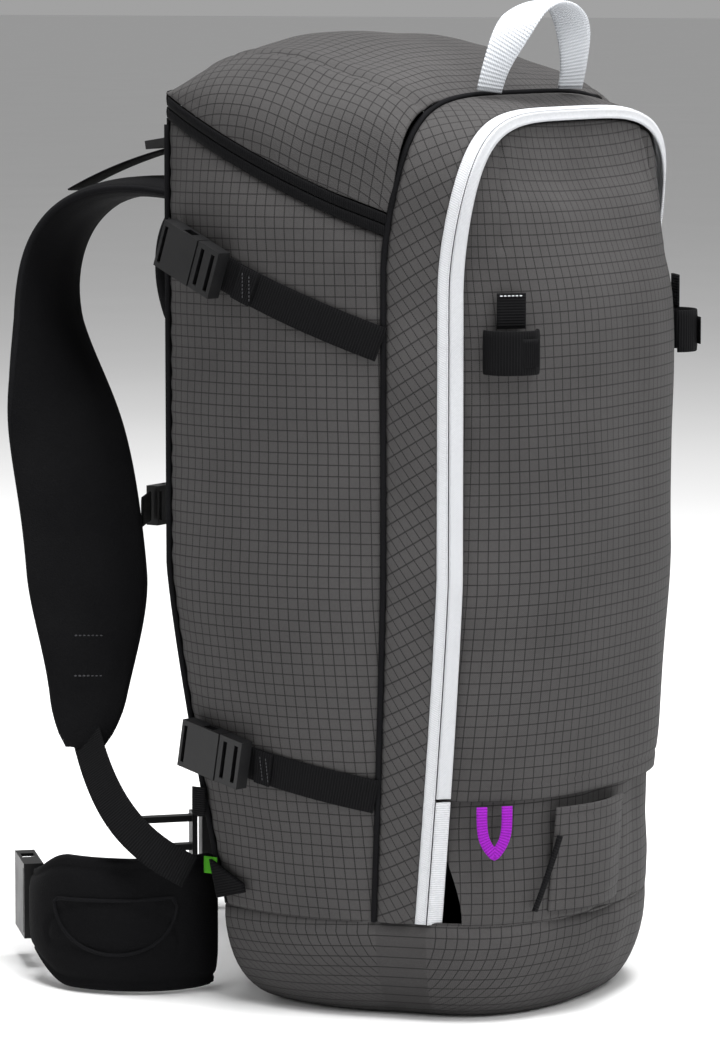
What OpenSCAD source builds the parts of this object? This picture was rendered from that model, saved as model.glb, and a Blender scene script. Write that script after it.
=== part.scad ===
// Ski backpack: a sewn top-lid bag with a zipped front flap, padded harness and hip belt.
// The pack stands on its base, +Z is up, the wearer's back is at +Y and the front flap at -Y.

/* [Bag] */
// Height of the top of the lid
pack_h = 565; // [550:5:580]
// Half the width of the bag where the side seams meet the gusset
seam_half = 131; // [125:1:137]
// Half the width of the bag at its back edge
back_half = 135; // [128:1:140]
// How far each side panel bulges past a straight line
side_bulge = 18; // [10:1:22]
// Distance of the back wall behind the middle of the bag
back_y = 105; // [100:1:108]
// Distance of the side seams ahead of the middle
seam_y = -40; // [-44:1:-38]
// Distance of the front flap's middle ahead of the middle of the bag
front_y = -126; // [-132:1:-120]
// Thickness of the fabric panels
cloth = 1.4; // [1.2:0.1:1.6]
// Height of the seam between the base and the walls
base_z = 58; // [50:1:62]

/* [Openings] */
// Half the width of the front zip
zip_half = 120; // [114:1:122]
// Distance of the front zip's legs ahead of the middle
zip_y = -75; // [-78:1:-72]
// Height of the top of the front zip
zip_top = 522; // [515:1:524]
// Height of the hem across the front, where the flap folds
hem_z = 131; // [120:1:140]
// Visible width of one side of a zip tape
tape_w = 6.5; // [5:0.5:8]
// Height of the lid zip at the side seams
rim_front_z = 459; // [450:1:465]
// Height of the lid zip at the back
rim_back_z = 524; // [518:1:528]

/* [Straps] */
// Width of the compression webbing
web_w = 20; // [18:1:20]
// Thickness of the webbing
web_t = 1.5; // [1.2:0.1:1.8]
// Width of a shoulder pad at its widest
pad_w = 70; // [60:1:74]
// Thickness of the shoulder and hip pads
pad_t = 12; // [9:1:13]
// Height of the hip belt
belt_h = 78; // [70:1:80]

/* [Hidden] */

// Colours
grey = [0.30, 0.30, 0.31];
black = [0.06, 0.06, 0.07];
white = [0.86, 0.87, 0.88];
purple = [0.50, 0.10, 0.62];
metal = [0.72, 0.72, 0.74];

// Gap left between neighbouring panels of cloth
seam_gap = 0.6;
// Height below which the bag narrows towards its base
taper_top = 260;
// How much each dimension shrinks at the ground
seam_in = 22;
zip_in = 18;
back_in = 24;
back_fwd = 36;
seam_back = 22;
zip_back = 30;
front_back = 16;
// Rounding of the top corners of the front zip and of the seam behind it
corner_power = 4.3;
// Rounding of the flap from side to side
front_power = 2.45;
front_fill = 0.968;
// Where the legs of the front zip and of its seam start to turn
zip_leg_z = 420;
seam_leg_z = 430;
seam_top_z = 531;
leg_share = 0.34;
zip_lean = 13;
seam_lean = 11;
// Highest part of the lid along its length, as a share from the front seam to the back
crest_share = 0.6;
lid_back_rise = 4;

// ---- Small functions ----

function clamp01(t) = min(1, max(0, t));
function mix(a, b, t) = a + (b - a) * t;
function smooth(t) = let (c = clamp01(t)) c * c * (3 - 2 * c);
function unit(v) = v / norm(v);

// Cubic curve through p[0] and p[3], pulled towards p[1] and p[2]
function bezier(p, t) =
    pow(1 - t, 3) * p[0] + 3 * t * pow(1 - t, 2) * p[1] + 3 * t * t * (1 - t) * p[2] + pow(t, 3) * p[3];

// Rounded arch of half width a and rise b, for q from 0 at its left foot to 180
function arch(a, b, n, q) =
    let (r = pow(pow(abs(cos(q)), n) + pow(abs(sin(q)), n), -1 / n)) [-a * r * cos(q), b * r * sin(q)];

// ---- Shape of the bag ----

// 0 above taper_top, rising to 1 at the ground
function taper(z) = pow(clamp01((taper_top - z) / taper_top), 1.2);
function seam_x(z) = seam_half - seam_in * taper(z);
function seam_line_y(z) = seam_y + seam_back * taper(z) - seam_lean * smooth((z - seam_leg_z) / 90);
function zip_x(z) = zip_half - zip_in * taper(z);
function zip_line_y(z) = zip_y + zip_back * taper(z) - zip_lean * smooth((z - zip_leg_z) / 100);
function back_x(z) = back_half - back_in * taper(z);
function back_wall_y(z) = back_y - back_fwd * taper(z);
function front_mid_y(z) =
    front_y + front_back * taper(z) + (zip_y - zip_lean - front_y - 2) * pow(clamp01((z - 395) / 127), 2.2);

// Left side wall, for s from 0 at the seam to 1 at the back edge
function side_point(s, z) = [
    -(mix(seam_x(z), back_x(z), s) + 4 * side_bulge * (1 - 0.6 * taper(z)) * s * (1 - s)),
    mix(seam_line_y(min(z, seam_leg_z)), back_wall_y(z), s),
    z
];
function rim_z(s) = mix(rim_front_z, rim_back_z, s);

// A leg, an arch and a leg, for t from 0 at the left foot to 1 at the right foot
function u_turn(half, leg_z, top_z, t) =
    let (q = 180 * (t - leg_share) / (1 - 2 * leg_share))
    t < leg_share ? [-half, mix(base_z + seam_gap, leg_z, t / leg_share)] :
    t > 1 - leg_share ? [half, mix(base_z + seam_gap, leg_z, (1 - t) / leg_share)] :
    let (p = arch(half, top_z - leg_z, corner_power, q)) [p[0], leg_z + p[1]];

// Seam between the gusset and the rest of the bag
function seam_curve(t) =
    let (p = u_turn(1, seam_leg_z, seam_top_z, t)) [p[0] * seam_x(p[1]), seam_line_y(p[1]), p[1]];

// Line where the two sides of the front zip meet
function zip_curve(t) =
    let (p = u_turn(1, zip_leg_z, zip_top, t)) [p[0] * zip_x(p[1]), zip_line_y(p[1]), p[1]];

// How far round the flap a point is, 0 in its middle and 1 at its side
function flap_round(s) =
    let (f = pow(1 - pow(front_fill * abs(s), front_power), 1 / front_power))
    let (edge = pow(1 - pow(front_fill, front_power), 1 / front_power))
    (1 - f) / (1 - edge);

// Front surface inside the zip, for h from -1 to 1 across and v from 0 at z_low to 1 at the top
function front_point(h, v, z_low, inset = 0) =
    let (s = sin(90 * h))
    let (roof = pow(1 - pow(abs(s), corner_power), 1 / corner_power))
    let (z = mix(z_low, zip_leg_z + (zip_top - zip_leg_z - inset) * roof, v))
    let (edge = 1 - (1 - flap_round(s)) * (1 - pow(v, 8)))
    [s * (zip_x(z) - inset), mix(front_mid_y(z), zip_line_y(z), edge), z];

// Part of the front surface between two heights, straight across
function front_band(h, z, inset = 0) =
    let (s = sin(90 * h)) [s * (zip_x(z) - inset), mix(front_mid_y(z), zip_line_y(z), flap_round(s)), z];

// Outline of the whole bag at height z, anticlockwise seen from above
function outline(z) = concat(
    [for (i = [0 : 16]) let (p = front_band(-1 + i / 8, z)) [p[0], p[1]]],
    [for (i = [0 : 8]) let (p = side_point(i / 8, z)) [-p[0], p[1]]],
    [for (i = [-1, 0, 1]) [-i * back_x(z) / 2, back_wall_y(z)]],
    [for (i = [0 : 8]) let (p = side_point(1 - i / 8, z)) [p[0], p[1]]]
);

// Base, for q from 0 at its flat foot to 90 at the seam, with its walls moved in by t
function base_ring(q, t) =
    let (spread = mix(0.74, 1, sin(q)) - t / 120)
    [for (p = outline(base_z)) [p[0] * spread, (p[1] + 15) * spread - 15, base_z * (1 - cos(q)) + t * cos(q)]];

// Lid, for a from 0 to 1 across and j from 0 at the front seam to 1 at the back
function lid_crest(j) =
    let (low = seam_top_z, high = pack_h)
    j < crest_share ? mix(low, high, 1 - pow(1 - j / crest_share, 2)) :
    mix(high, rim_back_z + tape_w + lid_back_rise, pow((j - crest_share) / (1 - crest_share), 3));
function lid_point(a, j) =
    let (rim = side_point(j, rim_z(j)))
    let (foot = rim_z(j) + tape_w + seam_gap)
    let (p = arch(-rim[0], lid_crest(j) - foot, mix(corner_power, 2.7, smooth(3 * j)), 180 * a))
    let (lean = (seam_lean - 1.5) * (1 - smooth(2 * j)) * smooth(p[1] / 60))
    [p[0], rim[1] + seam_gap * 2 * (1 - j) - lean, foot + p[1]];

// ---- Solids from points ----

function surface_normal(f, u, v) =
    let (e = 0.004)
    let (a = f(min(1, u + e), v) - f(max(0, u - e), v))
    let (b = f(u, min(1, v + e)) - f(u, max(0, v - e)))
    unit(cross(a, b));

// Sheet of thickness t behind the surface f(u, v), whose normal points outwards
module sheet(f, nu, nv, t) {
    row = nv + 1;
    n = (nu + 1) * row;
    skin = [for (i = [0 : nu]) for (j = [0 : nv]) f(i / nu, j / nv)];
    lining = [for (i = [0 : nu]) for (j = [0 : nv])
        f(i / nu, j / nv) - t * surface_normal(f, i / nu, j / nv)];
    cells = [for (i = [0 : nu - 1]) for (j = [0 : nv - 1]) i * row + j];
    rim = concat(
        [for (i = [0 : nu - 1]) [i * row, (i + 1) * row]],
        [for (j = [0 : nv - 1]) [nu * row + j, nu * row + j + 1]],
        [for (i = [nu : -1 : 1]) [i * row + nv, (i - 1) * row + nv]],
        [for (j = [nv : -1 : 1]) [j, j - 1]]
    );
    faces = concat(
        [for (c = cells) for (k = [[0, 1, row + 1], [0, row + 1, row]]) [for (d = k) c + d]],
        [for (c = cells) for (k = [[0, row + 1, 1], [0, row, row + 1]]) [for (d = k) n + c + d]],
        [for (e = rim) [e[0], e[1], e[1] + n]],
        [for (e = rim) [e[0], e[1] + n, e[0] + n]]
    );
    polyhedron(concat(skin, lining), faces, convexity = 6);
}

// Solid through a list of rings, with flat ends
module loft(rings) {
    k = len(rings[0]);
    last = (len(rings) - 1) * k;
    sides = [for (i = [0 : len(rings) - 2]) for (j = [0 : k - 1]) [i * k + j, i * k + (j + 1) % k]];
    faces = concat(
        [[for (j = [0 : k - 1]) j]],
        [for (s = sides) [s[0], s[0] + k, s[1]]],
        [for (s = sides) [s[1], s[0] + k, s[1] + k]],
        [[for (j = [k - 1 : -1 : 0]) last + j]]
    );
    polyhedron([for (r = rings) each r], faces, convexity = 6);
}

// Section of a strap: w wide and t thick, with k points and edges rounded by n
function strap_ring(c, along, wide, w, t, k = 4, n = 2) =
    let (up = unit(cross(unit(along), wide)))
    [for (i = [0 : k - 1])
        let (q = k == 4 ? 45 + 90 * i : 360 * i / k)
        let (r = k == 4 ? sqrt(2) : pow(pow(abs(cos(q)), n) + pow(abs(sin(q)), n), -1 / n))
        c + wide * w / 2 * r * cos(q) + up * t / 2 * r * sin(q)];

// Strap along the curve path(t), with its width along wide(t)
module strap(path, wide, w, t, steps, k = 4, n = 2) {
    loft([for (i = [0 : steps])
        let (s = i / steps, a = path(min(1, s + 0.01)) - path(max(0, s - 0.01)))
        let (d = wide(s))
        let (across = unit(d - unit(a) * (d * unit(a))))
        strap_ring(path(s), a, across, is_function(w) ? w(s) : w, t, k, n)]);
}

module mirrored(side) {
    if (side > 0) mirror([1, 0, 0]) children();
    else children();
}

// ---- Bag ----

module base_panel() {
    steps = 5;
    color(grey) loft(concat(
        [for (i = [0 : steps]) base_ring(90 * i / steps, 0)],
        [for (i = [steps : -1 : 0]) base_ring(90 * i / steps, cloth)]
    ));
}

module side_panel(side) {
    s_end = 1 - (cloth + 0.4) / (back_y - seam_y);
    f = function(u, v) let (s = mix(0.006, s_end, 1 - u))
        side_point(s, mix(base_z + seam_gap, rim_z(s) - tape_w - 0.2, v));
    color(grey) mirrored(side) sheet(f, 12, 16, cloth);
}

module back_panel() {
    f = function(u, v) let (z = mix(base_z + seam_gap, rim_back_z - tape_w - 0.2, v))
        [mix(1, -1, u) * (back_x(z) - 0.5), back_wall_y(z), z];
    color(black) sheet(f, 4, 10, cloth);
}

module gusset() {
    f = function(u, v)
        let (inner = zip_curve(u), outer = seam_curve(u))
        let (w = norm(inner - outer))
        mix(outer, inner, mix(0.8 / w, 1 - (tape_w + 0.3) / w, 1 - v));
    color(grey) sheet(f, 60, 2, cloth);
}

module divider() {
    f = function(u, v) let (s = sin(90 * (2 * u - 1)))
        let (roof = pow(1 - pow(abs(s), corner_power), 1 / corner_power))
        let (z = mix(base_z, seam_leg_z + (seam_top_z - seam_leg_z - 5) * roof, v))
        [s * (seam_x(z) - 4), seam_line_y(z) + 3, z];
    color(black) sheet(f, 14, 8, 1);
}

module gusset_zip_tape() {
    f = function(u, v)
        let (inner = zip_curve(u), outer = seam_curve(u))
        let (w = norm(inner - outer))
        mix(outer, inner, mix(1 - (tape_w + 0.1) / w, 1 - 0.3 / w, 1 - v));
    color(white) sheet(f, 60, 1, cloth);
}

// Band of zip tape below the lid's edge, round the sides and the back
module body_zip_tape() {
    f = function(v, s) let (p = side_point(s, rim_z(s))) p - [0, 0, mix(tape_w, 0.3, v)];
    back = function(u, v) [mix(back_half - 2.6, 2.6 - back_half, u), back_y, rim_back_z - mix(tape_w, 0.3, v)];
    color(black) {
        for (side = [-1, 1])
            mirrored(side) sheet(function(u, v) f(v, mix(0.985, 0.012, u)), 10, 1, cloth);
        sheet(back, 2, 1, cloth);
    }
}

// How far the lower panel sits behind the flap that overlaps it
lower_tuck = 4.4;
module front_lower_panel() {
    f = function(u, v)
        let (p = front_band(2 * u - 1, mix(base_z + seam_gap, hem_z + 14, v), tape_w + 1.4))
        p + [0, lower_tuck, 0];
    color(grey) sheet(f, 16, 5, cloth);
}

module front_upper_panel() {
    f = function(u, v) front_point(2 * u - 1, v, hem_z, tape_w + 0.4);
    color(grey) sheet(f, 24, 20, cloth);
}

// Inner side of the front zip; below the hem it belongs to the bag and above it to the flap
function flap_tape_point(t, v) =
    let (p = zip_curve(t), q = u_turn(1, zip_leg_z, zip_top - tape_w, t))
    let (inner = [q[0] * (zip_x(q[1]) - tape_w), mix(zip_line_y(q[1]), front_mid_y(q[1]), 0.12), q[1]])
    mix(p, inner, mix(0.06, 0.94, v));
module flap_zip_tape() {
    t_hem = leg_share * (hem_z + 2 - base_z) / (zip_leg_z - base_z);
    f = function(u, v) flap_tape_point(mix(t_hem, 1 - t_hem, u), v);
    color(white) sheet(f, 52, 1, cloth);
}

module lid_panel() {
    f = function(u, v) lid_point(u, mix(0.004, 1, v));
    color(grey) sheet(f, 24, 12, cloth);
}

// Band of zip tape along the lid's lower edge
module lid_zip_tape() {
    f = function(u, v) let (p = side_point(u, rim_z(u))) p + [0, 0, mix(0.3, tape_w - 0.2, v)];
    back = function(u, v) [mix(back_half - 2.6, 2.6 - back_half, u), back_y, rim_back_z + mix(0.3, tape_w - 0.2, v)];
    color(black) {
        for (side = [-1, 1])
            mirrored(side) sheet(function(u, v) f(mix(0.985, 0.02, u), v), 10, 1, cloth);
        sheet(back, 2, 1, cloth);
    }
}

handle_half = 47;
handle_foot = [-58, 532.5];
handle_lean = -14;
handle_h = 52;
// Centre line of the grab handle, up from the left foot and down to the right
handle_path = function(t)
    let (p = bezier([[-handle_half, 0], [-handle_half + 2, handle_h * 1.34],
        [handle_half - 2, handle_h * 1.34], [handle_half, 0]], t))
    [p[0], handle_foot[0] + p[1] * sin(handle_lean), handle_foot[1] + p[1] * cos(handle_lean)];
module grab_handle() {
    twist = function(t) let (q = mix(15, 90, smooth(1 - abs(2 * t - 1)))) [cos(q), -sin(q), 0];
    color(white) strap(handle_path, twist, 20, 2.2, 24);
}

// ---- Zip sliders ----

// Slider with a pull tab that hangs below it, lying on a face that looks along +X
module slider_body() {
    color(metal) {
        translate([0, -5, -7]) cube([3, 10, 14]);
        translate([3, -1.5, -4]) cube([2.4, 3, 8]);
    }
    color(black) translate([5.6, -3, -34]) cube([1.6, 6, 36]);
}

lid_slider_s = 0.86;
module lid_zip_slider() {
    p = side_point(lid_slider_s, rim_z(lid_slider_s));
    translate([-p[0] + 0.8, p[1], p[2]]) rotate([0, 0, 14]) slider_body();
}

front_slider_z = 395;
module front_zip_slider() {
    translate([zip_half + 1.6, zip_y - 1.6, front_slider_z]) rotate([0, 0, -42]) slider_body();
}

// ---- Front flap ----

keeper_z = 389;
keeper_w = 25;
// Elastic band sewn to the flap at both ends, bowed out so that a shaft fits through
module tool_keeper(side) {
    a = front_band(-0.77, keeper_z, tape_w);
    b = front_band(-0.52, keeper_z, tape_w);
    out = unit([a[1] - b[1], b[0] - a[0], 0]) * -1;
    path = function(t) bezier([a + out * 1.6, a + out * 21, b + out * 21, b + out * 1.6], t);
    tab = front_band(-0.64, keeper_z + 21, tape_w) + out * 2.2;
    color(black) mirrored(side) {
        strap(path, function(t) [0, 0, 1], keeper_w, 1.8, 12);
        loft([for (h = [-8, 12]) strap_ring(tab + [0, 0, h], [0, 0, 1], unit(b - a), 17, 2)]);
    }
}

axe_loop_x = -95;
// Loop of narrow webbing that hangs from the hem, flat in front of the cloth
module axe_loop() {
    u = asin(axe_loop_x / zip_x(hem_z)) / 90;
    ahead = front_band(u + 0.01, hem_z) - front_band(u - 0.01, hem_z);
    along = unit([ahead[0], ahead[1], 0]);
    out = [along[1], -along[0], 0];
    top = front_band(u, hem_z) + out * 1.6 - [0, 0, 1.8];
    path = function(t) top - along * 7.4 * cos(180 * t) - [0, 0, 26 * sqrt(sin(180 * t))];
    flat = function(t) cross(out, path(min(1, t + 0.01)) - path(max(0, t - 0.01)));
    color(purple) strap(path, flat, 6.2, 1.8, 24);
}

// Edges of the pick pocket, left and right
POCKET = [-60, 5];
// Stiff patch over the pick of an ice axe, open along its left edge
module pick_pocket() {
    f = function(u, v)
        let (x = mix(POCKET[0], POCKET[1], u), z = mix(64, hem_z - 6, v))
        let (p = front_band(asin(x / zip_x(z)) / 90, z))
        [x, p[1] - 1.5 - 7 * sin(180 * u) * (1 - 0.4 * v), z];
    color(grey) sheet(f, 8, 5, cloth);
}

module pocket_toggle() {
    f = function(z, x) front_band(asin(x / zip_x(z)) / 90, z) - [0, 5, 0];
    path = function(t) f(mix(hem_z - 22, 66, t), mix(-60, -72, t));
    color(black) strap(path, function(t) [1, 0, 0], 5, 2, 6);
}

// ---- Back system ----

back_pad_t = 13;
module back_pad() {
    f = function(u, v) let (z = mix(118, 504, v))
        [mix(1, -1, u) * (back_x(z) - 14), back_wall_y(z) + back_pad_t + 0.6 - 1.4 * pow(abs(2 * u - 1), 4), z];
    color(black) sheet(f, 8, 10, back_pad_t - 1.6);
}

lumbar_y = 100;
module lumbar_pad() {
    f = function(z) let (front = back_wall_y(max(z, base_z)) + 1, back = lumbar_y)
        [[-88, front, z], [88, front, z], [88, back - 5, z], [70, back, z], [-70, back, z], [-88, back - 5, z]];
    color(black) loft([for (z = [10, 40, 75, 112]) f(z)]);
}

module frame_sheet() {
    color(black) translate([-104, back_y - 5, taper_top]) cube([208, 1.5, 230]);
}

module frame_stay() {
    color(metal) translate([-12, back_y - 9, taper_top]) cube([24, 3, 235]);
}

// Half width of the panel between the two shoulder pads
yoke_half = 26;
module harness_yoke() {
    color(black) translate([-yoke_half, back_y + back_pad_t + 0.8, 440]) cube([2 * yoke_half, 2.5, 62]);
}

// Triangular tabs at the bottom corners that hold the harness webbing
anchor_z = 66;
module strap_anchors() {
    corner = function(s, dz) side_point(s, anchor_z + dz);
    for (side = [-1, 1]) color(black) mirrored(side)
        loft([for (h = [4.4, 2.2])
            [for (c = [corner(0.76, 4), corner(1, -3), corner(1, 20), corner(0.76, 9)]) c - [h, 0, 0]]]);
}

// ---- Compression straps ----

// Heights of each strap where it meets the seam and the back edge
UPPER = [392, 452];
LOWER = [133, 158];
buckle_l = 30;
buckle_w = 28;
buckle_t = 9.5;
wall = 2;
slip = 0.4;
// Where the mouth of the socket sits, as a share of the way to the back edge
mouth_s = 0.74;

function strap_z(ends, s) = mix(ends[0], ends[1], s);
function web_point(ends, s, out) =
    let (p = side_point(s, strap_z(ends, s)))
    let (a = side_point(max(0, s - 0.02), p[2]), b = side_point(s + 0.02, p[2]))
    p + unit([a[1] - b[1], b[0] - a[0], 0]) * out;
// Direction up the slope of the side, across the strap
function web_up(ends, s) =
    let (z = strap_z(ends, s))
    side_point(s, z + 8) - side_point(s, z - 8);
// Direction of the strap at the buckle, towards the front
function web_run(ends) = unit(web_point(ends, 0.66, 8) - web_point(ends, 0.9, 8));

// Puts a buckle at its place: its x runs to the front along the strap and its z points outwards
module at_buckle(ends) {
    p = web_point(ends, mouth_s, 8.6);
    d = web_run(ends);
    translate(p) rotate([0, 0, atan2(d[1], d[0])]) rotate([0, -asin(d[2]), 0]) rotate([90, 0, 0]) children();
}

module socket_shape(l, w, t) {
    difference() {
        translate([-l, -w / 2, -t / 2]) cube([l, w, t]);
        translate([-l + 7, -w / 2 + wall, -t / 2 + wall]) cube([l, w - 2 * wall, t - 2 * wall]);
        for (s = [-1, 1]) translate([-l * 0.5, s * w / 2 - 3, -t / 2 + wall]) cube([l * 0.26, 6, t - 2 * wall]);
        translate([-l + 2, -w / 2 + 3, -t]) cube([2.6, w - 6, 2 * t]);
    }
}

module plug_shape(l, w, t) {
    inner_w = w - 2 * wall - 2 * slip;
    inner_t = t - 2 * wall - 2 * slip;
    difference() {
        union() {
            translate([0.6, -w / 2, -t / 2 + 0.5]) cube([l * 0.6, w, t - 1]);
            translate([-l + 8, -2, -inner_t / 2]) cube([l - 7, 4, inner_t]);
            for (s = [-1, 1]) {
                translate([-l + 8, s * (inner_w / 2 - 2) - 2, -inner_t / 2]) cube([l - 7, 4, inner_t]);
            }
        }
        translate([4, -w / 2 + 3, -t]) cube([3, w - 6, 2 * t]);
        translate([l * 0.6 - 5, -w / 2 + 3, -t]) cube([3, w - 6, 2 * t]);
    }
}

module sockets(side) {
    color(black) mirrored(side) for (e = [UPPER, LOWER]) at_buckle(e) socket_shape(buckle_l, buckle_w, buckle_t);
}

module buckle_plug(side, e) {
    color(black) mirrored(side) at_buckle(e) plug_shape(buckle_l, buckle_w, buckle_t);
}

// Webbing from the side seam to the buckle, and the short end behind the socket
module side_webs(side) {
    color(black) mirrored(side) for (e = [UPPER, LOWER]) {
        front_s = function(t) mix(0.012, mouth_s - 0.03, t);
        back_s = function(t) mix(mouth_s + 0.2, 0.985, t);
        front = function(t) web_point(e, front_s(t), 1.8);
        back = function(t) web_point(e, back_s(t), 1.8);
        strap(front, function(t) web_up(e, front_s(t)), web_w, web_t, 12);
        strap(back, function(t) web_up(e, back_s(t)), web_w, web_t, 3);
    }
}

// Second layer of webbing, folded back from the plug to a stitched end
module web_tail(side, e) {
    tail_s = function(t) mix(0.5, mouth_s - 0.16, t);
    path = function(t) web_point(e, tail_s(t), 4.1);
    up = function(t) web_up(e, tail_s(t));
    color(black) mirrored(side) strap(path, up, web_w, web_t, 5);
}

// ---- Harness ----

PAD_TOP = [[-64, 124, 470], [-64, 190, 484], [-66, 246, 464], [-76, 232, 392]];
PAD_FALL = [[-76, 232, 392], [-85, 218, 328], [-104, 172, 262], [-118, 178, 142]];
pad_turn = 58;
pad_path = function(t) t < 0.4 ? bezier(PAD_TOP, t / 0.4) : bezier(PAD_FALL, (t - 0.4) / 0.6);
pad_wide = function(t) let (q = pad_turn * smooth((t - 0.35) / 0.4)) [cos(q), -sin(q), 0];
pad_half = function(t) mix(0.84, 1, smooth((t - 0.3) / 0.3)) * pad_w
    * (1 - 0.45 * smooth((t - 0.8) / 0.2));
module shoulder_pad(side) {
    color(black) mirrored(side) strap(pad_path, pad_wide, pad_half, pad_t, 30, 12, 3.2);
}

LIFTER = [[-64, 122, 502], [-64, 150, 497], [-65, 182, 489], [-66, 214, 478]];
module lifter_web(side) {
    path = function(t) bezier(LIFTER, t);
    color(black) mirrored(side) strap(path, function(t) [1, 0, 0], web_w, web_t, 8);
}

// Ladder lock: a frame with three bars, lying on the lifter webbing
module lifter_lock(side) {
    p = bezier(LIFTER, 0.3);
    color(black) mirrored(side) translate([p[0], p[1], p[2] + 3.4]) rotate([-9, 0, 0]) difference() {
        translate([-14, -11, -2]) cube([28, 22, 5]);
        for (y = [-7, 2]) translate([-10.5, y, -4]) cube([21, 5, 12]);
    }
}

LOWER_WEB = [[-119, 178, 134], [-146, 144, 112], [-154, 118, 96], [-132, 93, 78]];
module lower_web(side) {
    path = function(t) bezier(LOWER_WEB, t);
    color(black) mirrored(side) strap(path, function(t) [0.45, -0.3, 0.85], web_w, web_t, 10);
}

sternum_t = 0.72;
sternum_gap = 26;
module sternum_web(side) {
    a = pad_path(sternum_t) + pad_wide(sternum_t) * (pad_half(sternum_t) / 2 + 2);
    path = function(t) mix(a, [-sternum_gap - 22, a[1] + 14, a[2]], t);
    color(black) mirrored(side) strap(path, function(t) [0, 0, 1], 18, web_t, 3);
}

function sternum_place(side) =
    let (a = pad_path(sternum_t) + pad_wide(sternum_t) * (pad_half(sternum_t) / 2 + 2))
    [side * sternum_gap, a[1] + 14, a[2]];
module sternum_socket() {
    color(black) translate(sternum_place(-1)) rotate([90, 0, 0]) socket_shape(20, 24, 8);
}

module sternum_plug() {
    color(black) translate(sternum_place(1)) rotate([90, 0, 0]) plug_shape(20, 24, 8);
}

// ---- Hip belt ----

WING = [[-91, 107, 0], [-132, 104, 0], [-162, 172, 0], [-124, 208, 0]];
belt_z = 42;
wing_path = function(t) bezier(WING, t) + [0, 0, belt_z];
module hip_pad(side) {
    height = function(t) belt_h * (1 - 0.35 * smooth((t - 0.72) / 0.28));
    color(black) mirrored(side) strap(wing_path, function(t) [0, 0, 1], height, pad_t, 20, 12, 3.2);
}

belt_web_w = 38;
wing_run = unit(WING[3] - WING[2]);
module hip_web(side) {
    path = function(t) wing_path(1) + wing_run * mix(1.5, 22, t);
    color(black) mirrored(side) strap(path, function(t) [0, 0, 1], belt_web_w, 2, 2);
}

module at_belt_buckle(side) {
    mirrored(side) translate(wing_path(1) + wing_run * 68)
        rotate([0, 0, atan2(wing_run[1], wing_run[0])]) rotate([90, 0, 0]) children();
}

module hip_socket() {
    color(black) at_belt_buckle(-1) socket_shape(44, 46, 12);
}

module hip_plug() {
    color(black) at_belt_buckle(1) translate([-18, 0, 0]) mirror([1, 0, 0]) plug_shape(44, 46, 12);
}

// ---- Output ----

base_panel();
side_panel(-1);  // side_panel_left
side_panel(1);  // side_panel_right
back_panel();
gusset();
divider();
gusset_zip_tape();
body_zip_tape();
front_lower_panel();
pick_pocket();
pocket_toggle();
back_pad();
lumbar_pad();
frame_sheet();
frame_stay();
harness_yoke();
strap_anchors();
side_webs(-1);  // side_webs_left
side_webs(1);  // side_webs_right
sockets(-1);  // sockets_left
sockets(1);  // sockets_right
buckle_plug(-1, UPPER);  // plug_upper_left
buckle_plug(-1, LOWER);  // plug_lower_left
buckle_plug(1, UPPER);  // plug_upper_right
buckle_plug(1, LOWER);  // plug_lower_right
web_tail(-1, UPPER);  // tail_upper_left
web_tail(-1, LOWER);  // tail_lower_left
web_tail(1, UPPER);  // tail_upper_right
web_tail(1, LOWER);  // tail_lower_right
front_upper_panel();
flap_zip_tape();
tool_keeper(-1);  // tool_keeper_left
tool_keeper(1);  // tool_keeper_right
axe_loop();
lid_panel();
lid_zip_tape();
grab_handle();
lid_zip_slider();
front_zip_slider();
shoulder_pad(-1);  // shoulder_pad_left
shoulder_pad(1);  // shoulder_pad_right
lifter_web(-1);  // lifter_web_left
lifter_web(1);  // lifter_web_right
lifter_lock(-1);  // lifter_lock_left
lifter_lock(1);  // lifter_lock_right
lower_web(-1);  // lower_web_left
lower_web(1);  // lower_web_right
sternum_web(-1);  // sternum_web_left
sternum_web(1);  // sternum_web_right
sternum_socket();
sternum_plug();
hip_pad(-1);  // hip_pad_left
hip_pad(1);  // hip_pad_right
hip_web(-1);  // hip_web_left
hip_web(1);  // hip_web_right
hip_socket();
hip_plug();
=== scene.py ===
"""Visual model of a ski backpack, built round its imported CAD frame. Shapes are worked out in millimetres."""

import math

import bpy
import bmesh
import numpy as np
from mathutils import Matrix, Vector, noise


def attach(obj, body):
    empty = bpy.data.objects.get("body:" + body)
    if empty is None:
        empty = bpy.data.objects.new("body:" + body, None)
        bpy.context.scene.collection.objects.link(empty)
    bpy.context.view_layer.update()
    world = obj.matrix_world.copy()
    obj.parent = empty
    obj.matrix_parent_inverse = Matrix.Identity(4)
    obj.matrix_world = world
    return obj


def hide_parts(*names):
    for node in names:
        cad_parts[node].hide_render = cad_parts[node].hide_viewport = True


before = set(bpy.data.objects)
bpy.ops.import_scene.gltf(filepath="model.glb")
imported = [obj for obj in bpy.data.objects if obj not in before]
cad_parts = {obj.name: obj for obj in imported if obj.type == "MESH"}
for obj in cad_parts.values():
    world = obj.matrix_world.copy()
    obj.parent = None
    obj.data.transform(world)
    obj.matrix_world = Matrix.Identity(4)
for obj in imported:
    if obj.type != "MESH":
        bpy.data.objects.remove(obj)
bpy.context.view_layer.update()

MM = 0.001
SIDES = (("left", -1), ("right", 1))

# ---- Sizes shared with the CAD model, in millimetres ----

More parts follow.
